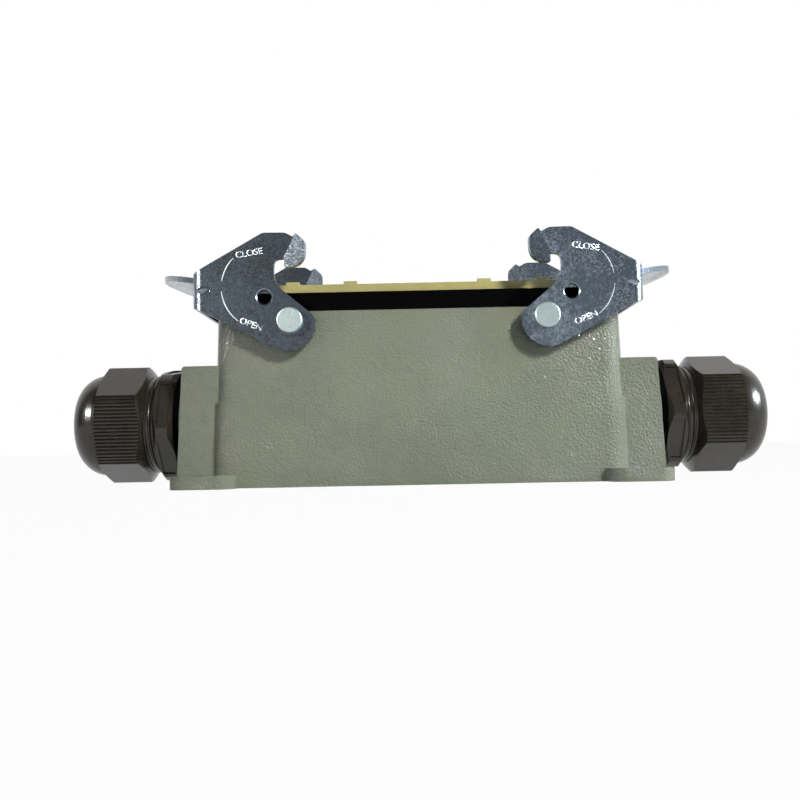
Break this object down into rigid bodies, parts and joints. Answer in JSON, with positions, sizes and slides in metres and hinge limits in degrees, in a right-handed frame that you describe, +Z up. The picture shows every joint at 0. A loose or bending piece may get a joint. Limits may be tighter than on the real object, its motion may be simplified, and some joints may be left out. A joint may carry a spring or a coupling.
{
  "type": "heavy duty rectangular connector",
  "caption": "Surface-mount heavy duty rectangular connector: cast housing with side cable glands, socket insert, rim gasket and two locking levers.",
  "frame": {"origin": "bottom centre of the base", "axes": "+X along the housing towards the right cable gland, +Z up to the mating face"},
  "size_m": [0.2108, 0.059, 0.0743],
  "materials": {
    "cast_body": "die-cast aluminium under a fine textured grey-green powder coat",
    "black_rubber": "matt black",
    "insert_plastic": "cream moulded polycarbonate",
    "contact_brass": "silver-flashed brass",
    "screw_steel": "zinc-plated",
    "earth_steel": "zinc-plated",
    "lever_zinc": "blue zinc plating, satin with fine spangle",
    "rivet_steel": "dull zinc plating",
    "gland_nylon": "dark grey nylon, satin, glossy on the dome"
  },
  "bodies": {
    "housing": {"housing": "cast_body", "rim_gasket": "black_rubber", "insert_body": "insert_plastic", "contact_sockets": "contact_brass", "terminal_screws": "screw_steel", "earth_plate_left": "earth_steel", "earth_plate_right": "earth_steel", "earth_screws": "screw_steel", "insert_screws": "screw_steel", "pivot_rivets_left": "rivet_steel", "pivot_rivets_right": "rivet_steel", "pivot_washers_left": "rivet_steel", "pivot_washers_right": "rivet_steel", "gland_washer_left": "black_rubber", "gland_washer_right": "black_rubber", "gland_body_left": "gland_nylon", "gland_body_right": "gland_nylon", "gland_seal_left": "black_rubber", "gland_seal_right": "black_rubber"},
    "lever_left": {"lever_left": "lever_zinc"},
    "lever_right": {"lever_right": "lever_zinc"},
    "gland_nut_left": {"gland_nut_left": "gland_nylon"},
    "gland_nut_right": {"gland_nut_right": "gland_nylon"}
  },
  "joints": [
    {"name": "lever_left_hinge", "type": "hinge", "parent": "housing", "child": "lever_left", "pos_m": [-0.03725, 0, 0.0483], "axis": [0, -1, 0], "range_deg": [-60, 32]},
    {"name": "lever_right_hinge", "type": "hinge", "parent": "housing", "child": "lever_right", "pos_m": [0.03725, 0, 0.0483], "axis": [0, 1, 0], "range_deg": [-60, 32]},
    {"name": "gland_nut_left_turn", "type": "hinge", "parent": "housing", "child": "gland_nut_left", "pos_m": [-0.095, 0, 0.0197], "axis": [-1, 0, 0], "continuous": true},
    {"name": "gland_nut_right_turn", "type": "hinge", "parent": "housing", "child": "gland_nut_right", "pos_m": [0.095, 0, 0.0197], "axis": [1, 0, 0], "continuous": true}
  ]
}
